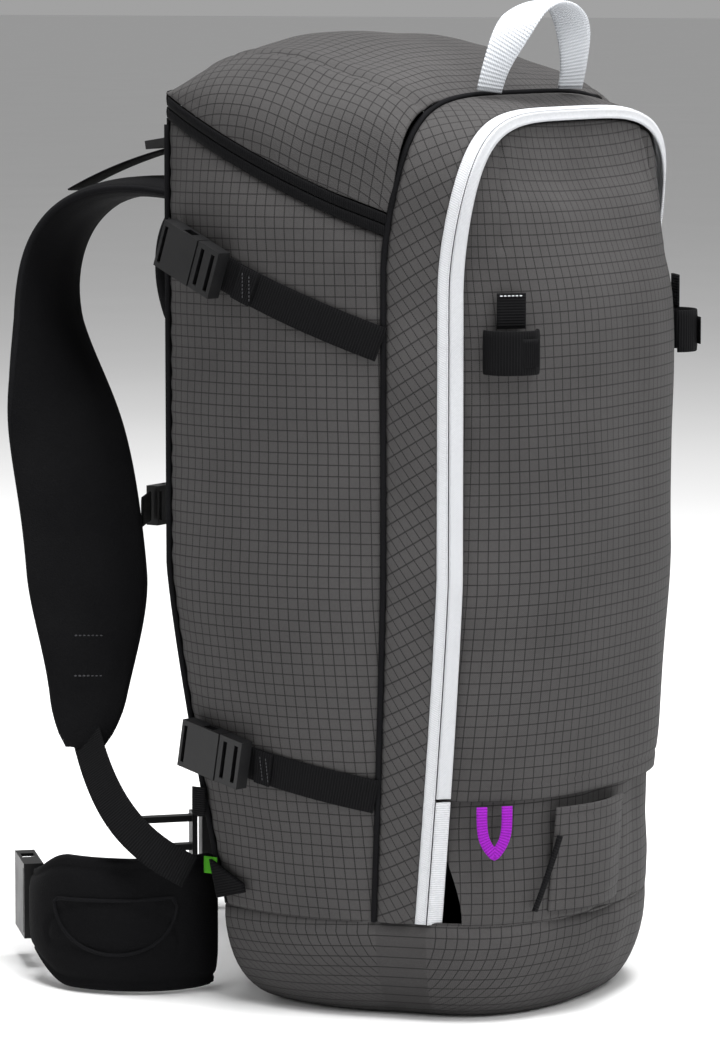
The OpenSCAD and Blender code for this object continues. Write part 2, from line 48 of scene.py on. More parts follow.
PACK_H = 565
BASE_Z = 58
HEM_Z = 131
TAPE = 6.5
RIM_FRONT, RIM_BACK = 459, 524
WEB_W, WEB_T = 20, 1.5
PAD_W, PAD_T = 70, 12
BELT_H = 78
BACK_Y = 105
TAPER_TOP = 260
SEAM_HALF, SEAM_IN = 131, 22
ZIP_HALF, ZIP_IN = 120, 18
ZIP_Y, ZIP_BACK, ZIP_LEAN, ZIP_LEG, ZIP_TOP = -75, 30, 13, 420, 522
SEAM_Y, SEAM_BACK, SEAM_LEAN, SEAM_LEG, SEAM_TOP = -40, 22, 11, 430, 531
FRONT_Y, FRONT_BACK = -126, 16
CORNER, LEG_SHARE = 4.3, 0.34
FRONT_POWER, FRONT_FILL = 2.45, 0.968
CREST = 0.6
UPPER, LOWER = (392, 452), (133, 158)
MOUTH = 0.74
KEEPER_Z, KEEPER_W = 389, 25
CLOTH = 1.4
HEM_SHARE = LEG_SHARE * (HEM_Z + 2 - BASE_Z) / (ZIP_LEG - BASE_Z)


# ---- Small functions ----


def vec(*xyz):
    return np.array(xyz, float)


def clamp(t):
    return min(1.0, max(0.0, t))


def mix(a, b, t):
    return a + (b - a) * t


def smooth(t):
    c = clamp(t)
    return c * c * (3 - 2 * c)


def unit(v):
    return v / max(np.linalg.norm(v), 1e-9)


def bell(d, width):
    return math.exp(-((d / width) ** 2))


def bezier(p, t):
    a, b, c, d = (np.array(x, float) for x in p)
    return (1 - t) ** 3 * a + 3 * t * (1 - t) ** 2 * b + 3 * t * t * (1 - t) * c + t**3 * d


def lump(x, y, z, size, seed=0.0):
    """Smooth noise from -1 to 1 with lumps of about that size in millimetres."""
    return noise.noise(Vector((x / size + seed, y / size - seed, z / size + 2.3 * seed)))


# ---- Shape of the bag, as in the CAD model ----


def arch(a, b, n, q):
    c, s = math.cos(math.radians(q)), math.sin(math.radians(q))
    r = (abs(c) ** n + abs(s) ** n) ** (-1 / n)
    return -a * r * c, b * r * s


def taper(z):
    return clamp((TAPER_TOP - z) / TAPER_TOP) ** 1.2


def seam_x(z):
    return SEAM_HALF - SEAM_IN * taper(z)


def seam_y(z):
    return SEAM_Y + SEAM_BACK * taper(z) - SEAM_LEAN * smooth((z - SEAM_LEG) / 90)


def zip_x(z):
    return ZIP_HALF - ZIP_IN * taper(z)


def zip_y(z):
    return ZIP_Y + ZIP_BACK * taper(z) - ZIP_LEAN * smooth((z - ZIP_LEG) / 100)


def back_x(z):
    return 135 - 24 * taper(z)


def back_y(z):
    return BACK_Y - 36 * taper(z)


def front_y(z):
    lean = (ZIP_Y - ZIP_LEAN - FRONT_Y - 2) * clamp((z - 395) / 127) ** 2.2
    return FRONT_Y + FRONT_BACK * taper(z) + lean


def side_point(s, z):
    out = mix(seam_x(z), back_x(z), s) + 72 * (1 - 0.6 * taper(z)) * s * (1 - s)
    return vec(-out, mix(seam_y(min(z, SEAM_LEG)), back_y(z), s), z)


def rim_z(s):
    return mix(RIM_FRONT, RIM_BACK, s)


def wall_point(s, z):
    """Side wall whose front edge leans forward with the seam."""
    return side_point(s, z) + vec(0, (seam_y(z) - seam_y(min(z, SEAM_LEG))) * (1 - smooth(s / 0.2)), 0)


def u_turn(leg_z, top_z, t):
    if t < LEG_SHARE:
        return -1, mix(BASE_Z + 0.6, leg_z, t / LEG_SHARE)
    if t > 1 - LEG_SHARE:
        return 1, mix(BASE_Z + 0.6, leg_z, (1 - t) / LEG_SHARE)
    x, z = arch(1, top_z - leg_z, CORNER, 180 * (t - LEG_SHARE) / (1 - 2 * LEG_SHARE))
    return x, leg_z + z


def seam_curve(t):
    x, z = u_turn(SEAM_LEG, SEAM_TOP, t)
    return vec(x * seam_x(z), seam_y(z), z)


def zip_curve(t):
    x, z = u_turn(ZIP_LEG, ZIP_TOP, t)
    return vec(x * zip_x(z), zip_y(z), z)


def flap_round(s):
    f = (1 - min(1, FRONT_FILL * abs(s)) ** FRONT_POWER) ** (1 / FRONT_POWER)
    edge = (1 - FRONT_FILL**FRONT_POWER) ** (1 / FRONT_POWER)
    return (1 - f) / (1 - edge)


def front_point(h, v, z_low, inset=0.0):
    s = math.sin(math.radians(90 * h))
    roof = max(0.0, 1 - abs(s) ** CORNER) ** (1 / CORNER)
    z = mix(z_low, ZIP_LEG + (ZIP_TOP - ZIP_LEG - inset) * roof, v)
    edge = 1 - (1 - flap_round(s)) * (1 - v**8)
    return vec(s * (zip_x(z) - inset), mix(front_y(z), zip_y(z), edge), z)


def front_band(h, z, inset=0.0):
    s = math.sin(math.radians(90 * h))
    return vec(s * (zip_x(z) - inset), mix(front_y(z), zip_y(z), flap_round(s)), z)


def front_at(x, z):
    return front_band(math.degrees(math.asin(x / zip_x(z))) / 90, z)


def outline(z):
    fine = [front_band(-1 + i / 24, z)[:2] for i in range(49)]
    fine += [side_point(i / 20, z)[:2] * (-1, 1) for i in range(21)]
    fine += [vec(-i * back_x(z) / 2, back_y(z)) for i in (-1, 0, 1)]
    return fine + [side_point(1 - i / 20, z)[:2] for i in range(21)]


def lid_crest(j):
    if j < CREST:
        return mix(SEAM_TOP, PACK_H, 1 - (1 - j / CREST) ** 2)
    return mix(PACK_H, RIM_BACK + TAPE + 4, ((j - CREST) / (1 - CREST)) ** 3)


def lid_point(a, j):
    rim = side_point(j, rim_z(j))
    foot = rim_z(j) + TAPE + 0.6
    x, z = arch(-rim[0], lid_crest(j) - foot, mix(CORNER, 2.7, smooth(3 * j)), 180 * a)
    lean = (SEAM_LEAN - 1.5) * (1 - smooth(2 * j)) * smooth(z / 60)
    return vec(x, rim[1] + 1.2 * (1 - j) - lean, foot + z)


def strap_z(ends, s):
    return mix(ends[0], ends[1], s)


def web_point(ends, s, out):
    z = strap_z(ends, s)
    a, b = side_point(max(0, s - 0.02), z), side_point(s + 0.02, z)
    return side_point(s, z) + unit(vec(a[1] - b[1], b[0] - a[0], 0)) * out


def web_up(ends, s):
    z = strap_z(ends, s)
    return side_point(s, z + 8) - side_point(s, z - 8)


# ---- Materials ----


class Paint:
    """A material whose nodes are added one call at a time."""

    def __init__(self, name, rough=0.8, sheen=0.0, metallic=0.0):
        self.mat = bpy.data.materials.new(name)
        self.mat.use_nodes = True
        self.tree = self.mat.node_tree
        self.shader = self.tree.nodes["Principled BSDF"]
        self.shader.inputs["Roughness"].default_value = rough
        self.shader.inputs["Metallic"].default_value = metallic
        self.shader.inputs["Sheen Weight"].default_value = sheen
        self.shader.inputs["Sheen Roughness"].default_value = 0.4
        self.shader.inputs["Specular IOR Level"].default_value = 0.3 if rough < 0.6 else 0.05
        self.uv = self.add("ShaderNodeUVMap", uv_map="weave").outputs[0]
        self.place = self.add("ShaderNodeTexCoord").outputs["Object"]

    def add(self, kind, **settings):
        n = self.tree.nodes.new(kind)
        for k, v in settings.items():
            setattr(n, k, v)
        return n

    def link(self, a, b):
        self.tree.links.new(a, b)

    def math(self, op, a, b=0.0, c=0.0):
        n = self.add("ShaderNodeMath", operation=op)
        for socket, value in zip(n.inputs, (a, b, c)):
            if isinstance(value, (int, float)):
                socket.default_value = value
            else:
                self.link(value, socket)
        return n.outputs[0]

    def turned(self, angle):
        n = self.add("ShaderNodeMapping")
        n.inputs["Rotation"].default_value[2] = math.radians(angle)
        self.link(self.uv, n.inputs[0])
        split = self.add("ShaderNodeSeparateXYZ")
        self.link(n.outputs[0], split.inputs[0])
        return split.outputs[0], split.outputs[1]

    def noise(self, scale, detail=2.0):
        n = self.add("ShaderNodeTexNoise")
        n.inputs["Scale"].default_value = scale
        n.inputs["Detail"].default_value = detail
        self.link(self.place, n.inputs["Vector"])
        return n.outputs[0]

    def wave(self, along, pitch):
        """A ripple from 0 to 1 with that pitch in metres."""
        angle = self.math("MULTIPLY", along, 2 * math.pi / pitch)
        return self.math("MULTIPLY_ADD", self.math("SINE", angle), 0.5, 0.5)

    def line(self, along, pitch, width):
        """1 on lines of that width, both in metres, and 0 between them."""
        part = self.math("FRACT", self.math("DIVIDE", along, pitch))
        far = self.math("ABSOLUTE", self.math("SUBTRACT", part, 0.5))
        n = self.add("ShaderNodeMapRange", interpolation_type="SMOOTHSTEP")
        n.inputs["From Min"].default_value = 0.5 - width / pitch
        n.inputs["From Max"].default_value = 0.5 - 0.4 * width / pitch
        self.link(far, n.inputs[0])
        return n.outputs[0]

    def tint(self, factor, low, high):
        """A colour between two, by a factor from 0 to 1."""
        n = self.add("ShaderNodeValToRGB")
        n.color_ramp.elements[0].color = (*low, 1)
        n.color_ramp.elements[1].color = (*high, 1)
        self.link(factor, n.inputs[0])
        return n.outputs[0]

    def blend(self, factor, a, b, mode="MIX"):
        n = self.add("ShaderNodeMix", data_type="RGBA", blend_type=mode)
        for socket, value in ((n.inputs[0], factor), (n.inputs[6], a), (n.inputs[7], b)):
            if isinstance(value, tuple):
                socket.default_value = (*value, 1)
            elif isinstance(value, float):
                socket.default_value = value
            else:
                self.link(value, socket)
        return n.outputs[2]

    def finish(self, colour, height, depth, rough=None):
        self.link(colour, self.shader.inputs["Base Color"])
        bump = self.add("ShaderNodeBump")
        bump.inputs["Distance"].default_value = depth
        bump.inputs["Strength"].default_value = 0.7
        self.link(height, bump.inputs["Height"])
        self.link(bump.outputs[0], self.shader.inputs["Normal"])
        if rough is not None:
            self.link(rough, self.shader.inputs["Roughness"])
        return self.mat


def ripstop(name, low, high, thread, angle=0.0, pitch=0.00635):
    """Fine twill with a grid of broken darker threads."""
    p = Paint(name, rough=0.7, sheen=0.02)
    u, v = p.turned(angle)
    dash_u, dash_v = p.wave(u, pitch / 6), p.wave(v, pitch / 6)
    broken = lambda line, dash: p.math("MULTIPLY", line, p.math("MULTIPLY_ADD", dash, 0.5, 0.36))
    across = broken(p.line(u, pitch, 0.0005), dash_v)
    down = broken(p.line(v, pitch, 0.0005), dash_u)
    grid = p.math("MAXIMUM", across, down)
    twill = p.wave(p.math("ADD", u, v), 0.0011)
    worn = p.noise(14, 4)
    grain = p.noise(1300, 2)
    tone = p.math("ADD", p.math("MULTIPLY", worn, 0.55), p.math("MULTIPLY", grain, 0.45))
    tone = p.math("MULTIPLY_ADD", twill, 0.16, p.math("SUBTRACT", tone, 0.08))
    colour = p.blend(grid, p.tint(tone, low, high), thread)
    height = p.math("ADD", p.math("MULTIPLY", twill, 0.5), p.math("MULTIPLY", grid, 0.8))
    return p.finish(colour, height, 0.00022)


def webbing(name, low, high, rough=0.8, pitch=0.0016, depth=0.0004):
    """Flat woven webbing: ribs across it and a fine twill on them."""
    p = Paint(name, rough=rough, sheen=0.004)
    u, v = p.turned(0)
    rib = p.wave(v, pitch)
    yarn = p.wave(p.math("ADD", u, v), pitch * 0.9)
    grain = p.noise(900, 2)
    tone = p.math("ADD", p.math("MULTIPLY", rib, 0.5), p.math("MULTIPLY", yarn, 0.2))
    tone = p.math("ADD", tone, p.math("MULTIPLY", grain, 0.3))
    return p.finish(p.tint(tone, low, high), p.math("MULTIPLY_ADD", yarn, 0.4, rib), depth)


def zip_cloth(name, low, high):
    """Coil zip: close ribs across the tape, with a fine grain."""
    p = Paint(name, rough=0.62)
    rib = p.wave(p.turned(0)[0], 0.0013)
    grain = p.noise(700, 2)
    tone = p.math("ADD", p.math("MULTIPLY", rib, 0.6), p.math("MULTIPLY", grain, 0.4))
    return p.finish(p.tint(tone, low, high), rib, 0.0003)


def knit(name, low, high, size=0.0011, rough=0.86, depth=0.00025):
    """Close stretch knit or brushed pad cloth."""
    p = Paint(name, rough=rough, sheen=0.004)
    cells = p.add("ShaderNodeTexVoronoi")
    cells.inputs["Scale"].default_value = 1 / size
    p.link(p.place, cells.inputs["Vector"])
    worn = p.noise(20, 4)
    tone = p.math("ADD", p.math("MULTIPLY", worn, 0.7), p.math("MULTIPLY", cells.outputs[0], 0.3))
    return p.finish(p.tint(tone, low, high), cells.outputs[0], depth)


def mesh_cloth(name, low, high):
    """Spacer mesh with small round holes in rows, sunk in and darkened as painted shade."""
    p = Paint(name, rough=0.9, sheen=0.004)
    u, v = p.turned(45)
    # Mask of the holes: it sinks them in the bump and also darkens them as painted shade.
    shaded_holes = p.math("MULTIPLY", p.wave(u, 0.0032), p.wave(v, 0.0032))
    tone = p.math("ADD", p.math("MULTIPLY", shaded_holes, 0.6), p.math("MULTIPLY", p.noise(30, 3), 0.4))
    # The ramp runs from light to dark, so the holes get painted shade.
    return p.finish(p.tint(tone, high, low), p.math("SUBTRACT", 1.0, shaded_holes), 0.0006)


def moulded(name, low, high, rough=0.42, metallic=0.0, grain_size=500.0):
    """Moulded plastic or metal with a fine grain, and worn patches in its gloss."""
    p = Paint(name, rough=rough, metallic=metallic)
    grain = p.noise(grain_size, 3)
    worn = p.noise(45, 4)
    gloss = p.math("MULTIPLY_ADD", worn, 0.25, rough - 0.12)
    return p.finish(p.tint(worn, low, high), grain, 0.00008, gloss)


GREY_LOW, GREY_HIGH, THREAD = (0.032, 0.031, 0.031), (0.084, 0.081, 0.081), (0.006, 0.006, 0.006)
BLACK_LOW, BLACK_HIGH = (0.0015, 0.0015, 0.002), (0.0075, 0.0075, 0.008)
PAINT = {
    "ripstop": ripstop("ripstop", GREY_LOW, GREY_HIGH, THREAD),
    "ripstop_bias": ripstop("ripstop_bias", GREY_LOW, GREY_HIGH, THREAD, 42),
    "webbing_black": webbing("webbing_black", BLACK_LOW, (0.010, 0.010, 0.0105)),
    "webbing_white": webbing("webbing_white", (0.40, 0.42, 0.45), (0.70, 0.72, 0.75), 0.7, 0.0022),
    "webbing_purple": webbing("webbing_purple", (0.13, 0.006, 0.20), (0.34, 0.02, 0.50), 0.6),
    "zip_white": zip_cloth("zip_white", (0.42, 0.43, 0.45), (0.66, 0.67, 0.69)),
    "zip_black": zip_cloth("zip_black", (0.001, 0.001, 0.0015), (0.008, 0.008, 0.0085)),
    "pad_fabric": knit("pad_fabric", BLACK_LOW, BLACK_HIGH),
    "pad_mesh": mesh_cloth("pad_mesh", (0.0015, 0.0015, 0.002), (0.010, 0.010, 0.011)),
    "lining": knit("lining", (0.05, 0.05, 0.055), (0.10, 0.10, 0.11), 0.0008),
    "piping": knit("piping", (0.003, 0.003, 0.0035), (0.010, 0.010, 0.011), 0.0009),
    "stitch": knit("stitch", (0.42, 0.43, 0.45), (0.62, 0.63, 0.66), 0.0005),
    "stitch_dark": knit("stitch_dark", (0.03, 0.03, 0.032), (0.06, 0.06, 0.064), 0.0005),
    "label_green": knit("label_green", (0.03, 0.17, 0.01), (0.07, 0.30, 0.02), 0.0006),
    "buckle_plastic": moulded("buckle_plastic", (0.003, 0.003, 0.0035), (0.009, 0.009, 0.0095)),
    "frame_plastic": moulded("frame_plastic", (0.02, 0.02, 0.022), (0.05, 0.05, 0.055), 0.5),
    "aluminium": moulded("aluminium", (0.42, 0.43, 0.45), (0.62, 0.63, 0.65), 0.35, 1.0, 300.0),
}


# ---- Mesh building ----


def build(name, points, faces, weave, body, paint, replaces=()):
    """A closed mesh from points in millimetres, with weave coordinates in metres."""
    mesh = bpy.data.meshes.new(name)
    mesh.from_pydata([tuple(p) for p in np.asarray(points) * MM], [], faces)
    layer = mesh.uv_layers.new(name="weave")
    corners = np.zeros(len(mesh.loops), int)
    mesh.loops.foreach_get("vertex_index", corners)
    layer.data.foreach_set("uv", (np.asarray(weave, float)[corners] * MM).ravel())
    bm = bmesh.new()
    bm.from_mesh(mesh)
    bmesh.ops.recalc_face_normals(bm, faces=bm.faces)
    bm.to_mesh(mesh)
    bm.free()
    mesh.polygons.foreach_set("use_smooth", [True] * len(mesh.polygons))
    obj = bpy.data.objects.new(name, mesh)
    bpy.context.scene.collection.objects.link(obj)
    mesh.materials.append(PAINT[paint])
    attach(obj, body)
    if replaces:
        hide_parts(*replaces)
    return obj


def running(points, axis, middle=True):
    """Length run so far along one axis of a grid of points, zero in the middle or at the start."""
    step = np.linalg.norm(np.diff(points, axis=axis), axis=2)
    zero = np.zeros_like(np.take(step, [0], axis))
    length = np.concatenate([zero, np.cumsum(step, axis)], axis)
    return length - np.take(length, [length.shape[axis] // 2], axis) if middle else length


def normals_of(grid):
    du, dv = np.gradient(grid, axis=0), np.gradient(grid, axis=1)
    n = np.cross(du, dv)
    return n / np.maximum(np.linalg.norm(n, axis=2, keepdims=True), 1e-9)


def sheet_mesh(skin, lining):
    """Points and faces of the closed solid between two grids of points."""
    nu, nv = skin.shape[0] - 1, skin.shape[1] - 1
    row, n = nv + 1, (nu + 1) * (nv + 1)
    at = lambda i, j: i * row + j
    faces = []
    for i in range(nu):
        for j in range(nv):
            a, b, c, d = at(i, j), at(i + 1, j), at(i + 1, j + 1), at(i, j + 1)
            faces += [(a, b, c, d), (d + n, c + n, b + n, a + n)]
    rim = [(at(i, 0), at(i + 1, 0)) for i in range(nu)] + [(at(nu, j), at(nu, j + 1)) for j in range(nv)]
    rim += [(at(i, nv), at(i - 1, nv)) for i in range(nu, 0, -1)]
    rim += [(at(0, j), at(0, j - 1)) for j in range(nv, 0, -1)]
    faces += [(b, a, a + n, b + n) for a, b in rim]
    return np.concatenate([skin.reshape(-1, 3), lining.reshape(-1, 3)]), faces


def cloth(name, f, nu, nv, body, paint, relief=None, thick=CLOTH, side=-1, replaces=()):
    """A panel of cloth on the surface f(u, v). relief(u, v, point) lifts it along its normal."""
    us, vs = np.linspace(0, 1, nu + 1), np.linspace(0, 1, nv + 1)
    skin = np.array([[f(u, v) for v in vs] for u in us])
    weave = np.stack([running(skin, 0), running(skin, 1, False)], 2).reshape(-1, 2)
    normal = normals_of(skin)
    if relief:
        lift = np.array([[relief(u, v, skin[i, j]) for j, v in enumerate(vs)] for i, u in enumerate(us)])
        skin = skin + normal * lift[:, :, None]
    points, faces = sheet_mesh(skin, skin - normal * thick)
    if side > 0:
        points = points * (-1, 1, 1)
    return build(name, points, faces, np.concatenate([weave, weave]), body, paint, replaces)


def ribbon_rings(path, wide, width, thick, steps, k, power, relief):
    rings, weave, along = [], [], 0.0
    last = None
    for i in range(steps + 1):
        s = i / steps
        c = path(s)
        ahead = unit(path(min(1, s + 0.01)) - path(max(0, s - 0.01)))
        d = np.array(wide(s), float)
        across = unit(d - ahead * (d @ ahead))
        up = unit(np.cross(ahead, across))
        w = width(s) if callable(width) else width
        t = thick(s) if callable(thick) else thick
        along += 0 if last is None else np.linalg.norm(c - last)
        last = c
        ring = []
        for q in np.arange(k) * 2 * math.pi / k:
            r = (abs(math.cos(q)) ** power + abs(math.sin(q)) ** power) ** (-1 / power)
            x, y = r * math.cos(q), r * math.sin(q)
            lift = relief(s, x, y) if relief else 0.0
            ring.append(c + across * w / 2 * x + up * (t / 2 * y + lift))
            weave.append((w / 2 * x, along))
        rings.append(ring)
    return np.array(rings), weave


def tube_faces(n_rings, k, closed=False):
    faces = []
    for i in range(n_rings if closed else n_rings - 1):
        a, b = i * k, ((i + 1) % n_rings) * k
        faces += [(a + j, a + (j + 1) % k, b + (j + 1) % k, b + j) for j in range(k)]
    if not closed:
        faces += [tuple(range(k))[::-1], tuple((n_rings - 1) * k + j for j in range(k))]
    return faces


def ribbon(name, path, wide, width, thick, steps, body, paint, k=20, power=5.0, relief=None, side=-1,
           replaces=()):
    """A strap along path(t), with its width along wide(t) and rounded edges."""
    rings, weave = ribbon_rings(path, wide, width, thick, steps, k, power, relief)
    points = rings.reshape(-1, 3) * ((-1, 1, 1) if side > 0 else (1, 1, 1))
    return build(name, points, tube_faces(len(rings), k), weave, body, paint, replaces)


def tube(name, line, radius, body, paint, side=-1, closed=False, k=10, replaces=()):
    """A round cord or piping along a list of points."""
    line = np.array(line, float)
    ahead = np.roll(line, -1, 0) - np.roll(line, 1, 0)
    if not closed:
        ahead[0], ahead[-1] = line[1] - line[0], line[-1] - line[-2]
    ahead = ahead / np.linalg.norm(ahead, axis=1, keepdims=True)
    up = unit(np.cross(ahead[0], (0.31, 0.52, 0.79)))
    points, weave, along = [], [], 0.0
    for i, c in enumerate(line):
        up = unit(up - ahead[i] * (up @ ahead[i]))
        other = np.cross(ahead[i], up)
        along += np.linalg.norm(c - line[i - 1]) if i else 0
        for q in np.arange(k) * 2 * math.pi / k:
            points.append(c + (up * math.cos(q) + other * math.sin(q)) * radius)
            weave.append((along, q * radius))
    points = np.array(points) * ((-1, 1, 1) if side > 0 else (1, 1, 1))
    return build(name, points, tube_faces(len(line), k, closed), weave, body, paint, replaces)


def dashes(name, line, length, gap, body, paint, side=-1, radius=0.35):
    """A row of stitches along a line of points, joined into one mesh."""
    line = np.array(line, float)
    run = np.concatenate([[0], np.cumsum(np.linalg.norm(np.diff(line, axis=0), axis=1))])
    at = lambda d: vec(*(np.interp(d, run, line[:, i]) for i in range(3)))
    points, faces, weave, k = [], [], [], 6
    d = gap / 2
    while d + length <= run[-1]:
        a, b = at(d), at(d + length)
        ahead = unit(b - a)
        up = unit(np.cross(ahead, (0.31, 0.52, 0.79)))
        other = np.cross(ahead, up)
        base = len(points)
        for share, fat in ((0, 0.4), (0.2, 1), (0.8, 1), (1, 0.4)):
            for q in np.arange(k) * 2 * math.pi / k:
                points.append(mix(a, b, share) + (up * math.cos(q) + other * math.sin(q)) * radius * fat)
                weave.append((share * length, q))
        faces += [tuple(base + x for x in f) for f in tube_faces(4, k)]
        d += length + gap
    points = np.array(points) * ((-1, 1, 1) if side > 0 else (1, 1, 1))
    return build(name, points, faces, weave, body, paint)


def sampled(f, n, a=0.0, b=1.0):
    return [f(mix(a, b, i / n)) for i in range(n + 1)]


# ---- Cloth relief ----


def tuck(d, depth=1.5, reach=5.0):
    """How far cloth turns in beside a seam that is d away."""
    return -depth * math.exp(-max(d, 0) / reach)


def tape_bow(u, v, p):
    return 0.5 * math.sin(math.pi * v)


def side_relief(u, v, p):
    s = 1 - u
    length, height = 150, rim_z(s) - TAPE - BASE_Z
    edge = min(u, s) * length
    top = min(v, 1 - v) * height
    gap = min(abs(p[2] - strap_z(e, s)) for e in (UPPER, LOWER))
    free = (1 - bell(gap, 17)) * smooth(edge / 22) * smooth(top / 20)
    fold = lump(p[1] * 0.5, p[2], p[0], 42, 3.1) * 2.3 + lump(p[1], p[2] * 0.8, 0, 95, 7.7) * 3.0
    pull = 0.9 * math.sin(p[1] / 8.5 + p[2] / 30) * bell(gap - 22, 15)
    pucker = 0.35 * math.sin(p[2] / 2.3 + 3 * lump(0, 0, p[2], 40)) * math.exp(-edge / 8)
    return (fold + pull + 1.2) * free + pucker + tuck(min(edge, (1 - v) * height))


def gusset_relief(u, v, p):
    across = 4 * v * (1 - v)
    fold = lump(p[0], p[1], p[2], 30, 1.7) * 1.3 + math.sin(p[2] / 9 + p[0] / 14) * 0.35
    pucker = 0.35 * math.sin((p[0] + p[2]) / 2.4) * (1 - across)
    clear = 1 - 0.9 * smooth((p[2] - 500) / 20)
    return (across * (1.6 + fold) + pucker) * clear + tuck((1 - v) * 38, 0.7)


DART = ((82, 512), (94, 448))


def dart_distance(x, z):
    (x0, z0), (x1, z1) = DART
    t = clamp(((abs(x) - x0) * (x1 - x0) + (z - z0) * (z1 - z0)) / ((x1 - x0) ** 2 + (z1 - z0) ** 2))
    return math.hypot(abs(x) - mix(x0, x1, t), z - mix(z0, z1, t))


def flap_relief(u, v, p):
    edge = min(min(u, 1 - u) * 260, (1 - v) * 160)
    fold = lump(p[0], 0, p[2] * 0.6, 48, 5.2) * 1.7 + lump(p[0], 0, p[2], 120, 9.1) * 2.4
    pull = 1.3 * math.sin(p[2] / 9 + 2 * lump(p[0], 0, p[2], 60)) * bell(edge - 18, 16)
    dart = -1.3 * bell(dart_distance(p[0], p[2]), 2.2) + 0.9 * bell(dart_distance(p[0], p[2]) - 7, 5)
    pucker = 0.35 * math.sin((p[2] + p[0]) / 2.4) * math.exp(-edge / 7)
    hem = -0.7 * bell((p[2] - HEM_Z - 9), 1.2)
    loose = (fold + pull) * smooth(edge / 26) * smooth((p[2] - HEM_Z) / 30)
    return loose + dart + pucker + hem + tuck(edge, 0.8)


LID_SEAM = 0.27


def lid_relief(u, v, p):
    edge = min(v, 1 - v) * 150
    seam = min(abs(u - LID_SEAM), abs(u - 1 + LID_SEAM)) * 420
    fold = lump(p[0], p[1], p[2], 50, 2.4) * 2.3 + lump(p[0], p[1], 0, 22, 4.4) * 0.4
    rim = min(u, 1 - u) * 420
    groove = -1.4 * bell(seam, 2.4) + 0.8 * bell(seam - 8, 6)
    pucker = 0.3 * math.sin(p[1] / 2.3) * bell(seam, 7)
    return fold * smooth(edge / 25) * smooth(rim / 25) + groove + pucker + tuck(rim, 0.6, 4)


# ---- Bag ----


